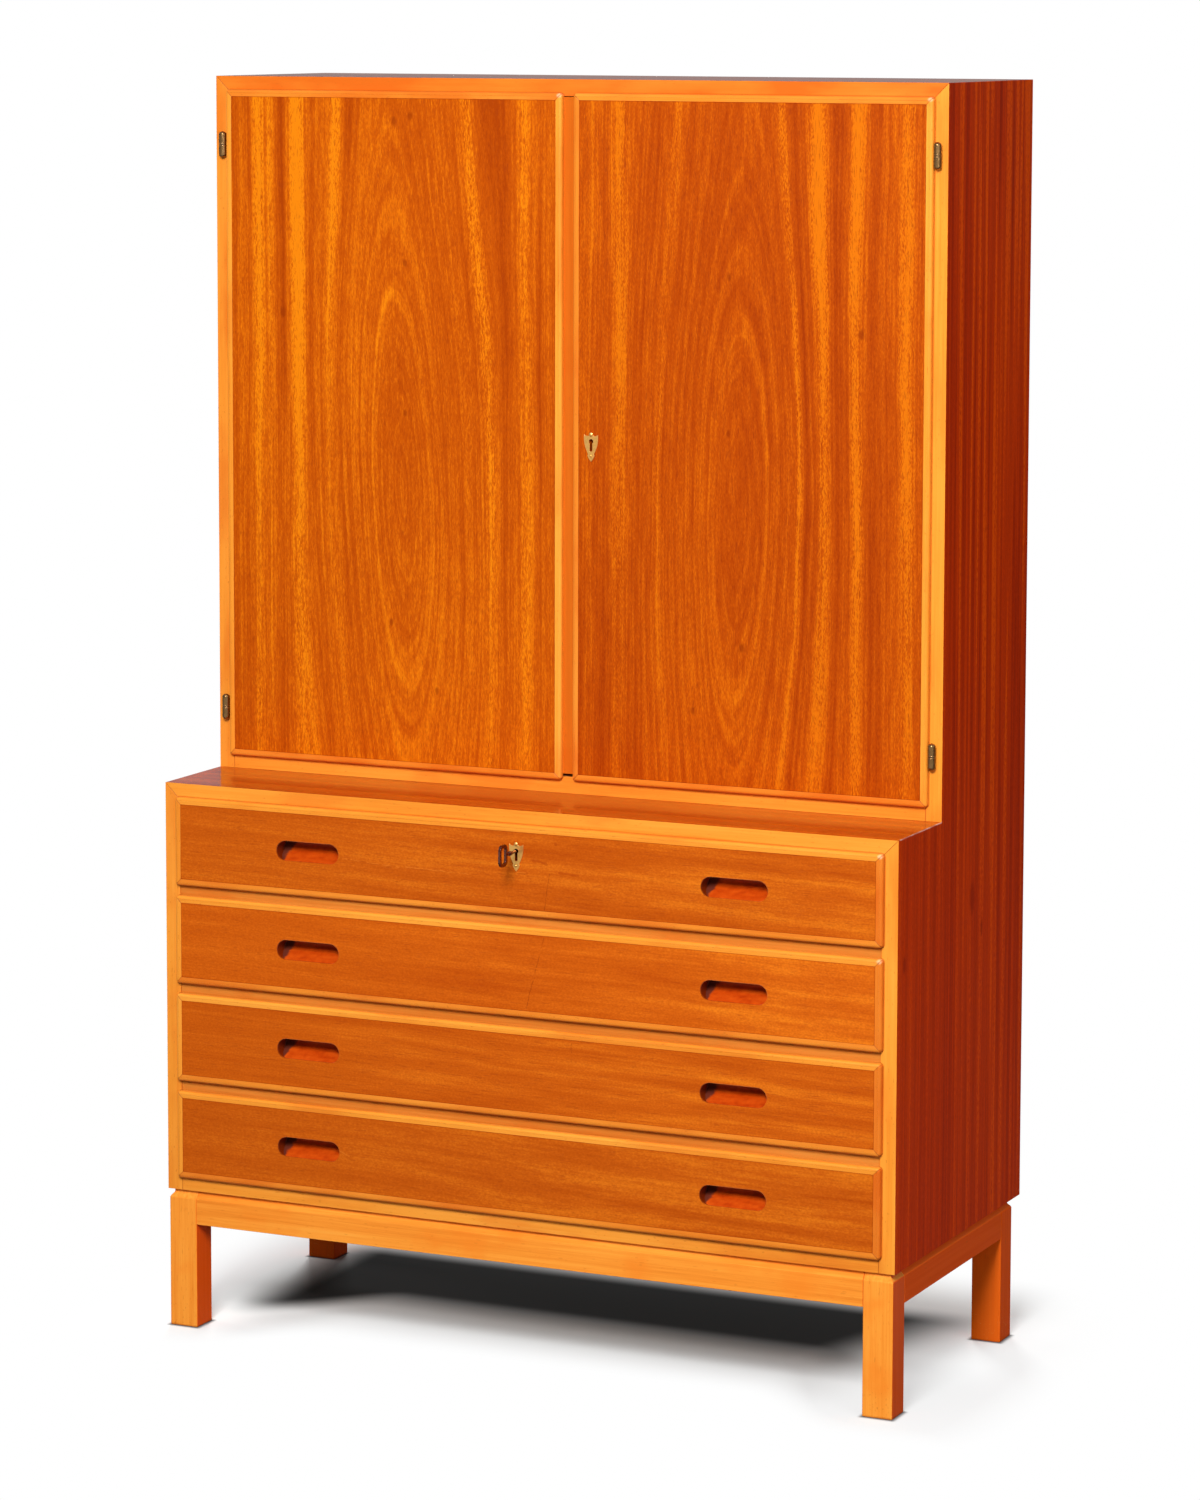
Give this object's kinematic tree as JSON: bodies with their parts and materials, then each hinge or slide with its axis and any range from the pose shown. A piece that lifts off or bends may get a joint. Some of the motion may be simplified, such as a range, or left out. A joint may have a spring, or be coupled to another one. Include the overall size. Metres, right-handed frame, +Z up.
{
  "type": "highboard",
  "caption": "Stepped wooden highboard: hinged cupboard doors above a ledge, lipped drawers with scooped finger pulls below, on a low square-legged stand.",
  "frame": {"origin": "middle of the footprint at floor level, the depth measured over the key and the back", "axes": "+Z up, +X to the right of the front as seen by a person before it, +Y to the back"},
  "size_m": [1.05, 0.519, 1.68],
  "materials": {
    "stand_wood": "satin oiled beech, warm orange",
    "case_veneer": "satin mahogany veneer, dark red-brown, fine straight grain",
    "edging_wood": "satin solid edging, warm light orange",
    "front_veneer": "satin mahogany veneer, red-brown with lighter ribbon stripes",
    "inside_wood": "plain pale wood, unfinished",
    "back_panel": "thin plain board, matte",
    "cup_wood": "satin mahogany, routed",
    "hinge_bronze": "aged bronze, worn bright at the domes",
    "plate_brass": "polished brass, slightly tarnished",
    "fitting_steel": "plain steel",
    "key_steel": "dark oxidised steel"
  },
  "bodies": {
    "root": {"leg_front_left": "stand_wood", "leg_front_right": "stand_wood", "leg_rear_left": "stand_wood", "leg_rear_right": "stand_wood", "rail_front": "stand_wood", "rail_rear": "stand_wood", "rail_left": "stand_wood", "rail_right": "stand_wood", "corner_blocks": "inside_wood", "stand_screws": "fitting_steel", "side_left": "case_veneer", "side_right": "case_veneer", "case_bottom": "inside_wood", "step_top": "case_veneer", "upper_floor": "inside_wood", "top_board": "case_veneer", "back_lower": "back_panel", "back_upper": "back_panel", "lower_edging": "edging_wood", "upper_edging": "edging_wood", "drawer_dividers": "case_veneer", "drawer_runners": "inside_wood", "shelf_upper": "inside_wood", "shelf_lower": "inside_wood", "shelf_pegs": "fitting_steel", "hinge_case_knuckles": "hinge_bronze", "hinge_pins": "fitting_steel"},
    "left_door": {"left_door_panel": "front_veneer", "left_door_edging": "edging_wood", "closing_strip": "edging_wood", "left_door_knuckles": "hinge_bronze", "bolt_guides": "fitting_steel"},
    "right_door": {"right_door_panel": "front_veneer", "right_door_edging": "edging_wood", "right_door_knuckles": "hinge_bronze", "door_lock": "fitting_steel", "door_escutcheon": "plate_brass"},
    "door_bolt": {"door_lock_bolt": "fitting_steel"},
    "upper_bolt": {"upper_door_bolt": "fitting_steel"},
    "lower_bolt": {"lower_door_bolt": "fitting_steel"},
    "key": {"key": "key_steel"},
    "drawer_bolt": {"drawer_lock_bolt": "fitting_steel"},
    "drawer_1": {"drawer_1_front": "front_veneer", "drawer_1_edging": "edging_wood", "drawer_1_cups": "cup_wood", "drawer_1_box": "inside_wood", "drawer_lock": "fitting_steel", "drawer_escutcheon": "plate_brass"},
    "drawer_2": {"drawer_2_front": "front_veneer", "drawer_2_edging": "edging_wood", "drawer_2_cups": "cup_wood", "drawer_2_box": "inside_wood"},
    "drawer_3": {"drawer_3_front": "front_veneer", "drawer_3_edging": "edging_wood", "drawer_3_cups": "cup_wood", "drawer_3_box": "inside_wood"},
    "drawer_4": {"drawer_4_front": "front_veneer", "drawer_4_edging": "edging_wood", "drawer_4_cups": "cup_wood", "drawer_4_box": "inside_wood"}
  },
  "joints": [
    {"name": "drawer_1_slide", "type": "slide", "parent": "root", "child": "drawer_1", "axis": [0, -1, 0], "range_m": [0, 0.3]},
    {"name": "drawer_2_slide", "type": "slide", "parent": "root", "child": "drawer_2", "axis": [0, -1, 0], "range_m": [0, 0.3]},
    {"name": "drawer_3_slide", "type": "slide", "parent": "root", "child": "drawer_3", "axis": [0, -1, 0], "range_m": [0, 0.3]},
    {"name": "drawer_4_slide", "type": "slide", "parent": "root", "child": "drawer_4", "axis": [0, -1, 0], "range_m": [0, 0.3]},
    {"name": "left_door_hinge", "type": "hinge", "parent": "root", "child": "left_door", "pos_m": [-0.5125, -0.056, 1.2], "axis": [0, 0, -1], "range_deg": [0, 165]},
    {"name": "right_door_hinge", "type": "hinge", "parent": "root", "child": "right_door", "pos_m": [0.5125, -0.056, 1.2], "axis": [0, 0, 1], "range_deg": [0, 165]},
    {"name": "key_turn", "type": "hinge", "parent": "drawer_1", "child": "key", "pos_m": [0, -0.22, 0.69], "axis": [0, 1, 0], "range_deg": [0, 180]},
    {"name": "drawer_bolt_slide", "type": "slide", "parent": "drawer_1", "child": "drawer_bolt", "axis": [0, 0, 1], "range_m": [0, 0.007]},
    {"name": "door_bolt_slide", "type": "slide", "parent": "right_door", "child": "door_bolt", "axis": [-1, 0, 0], "range_m": [0, 0.011]},
    {"name": "upper_bolt_slide", "type": "slide", "parent": "left_door", "child": "upper_bolt", "axis": [0, 0, 1], "range_m": [0, 0.01]},
    {"name": "lower_bolt_slide", "type": "slide", "parent": "left_door", "child": "lower_bolt", "axis": [0, 0, -1], "range_m": [0, 0.01]}
  ],
  "couplings": [
    {"joint": "drawer_bolt_slide", "follows": "key_turn", "m_per_rad": 0.002228}
  ]
}
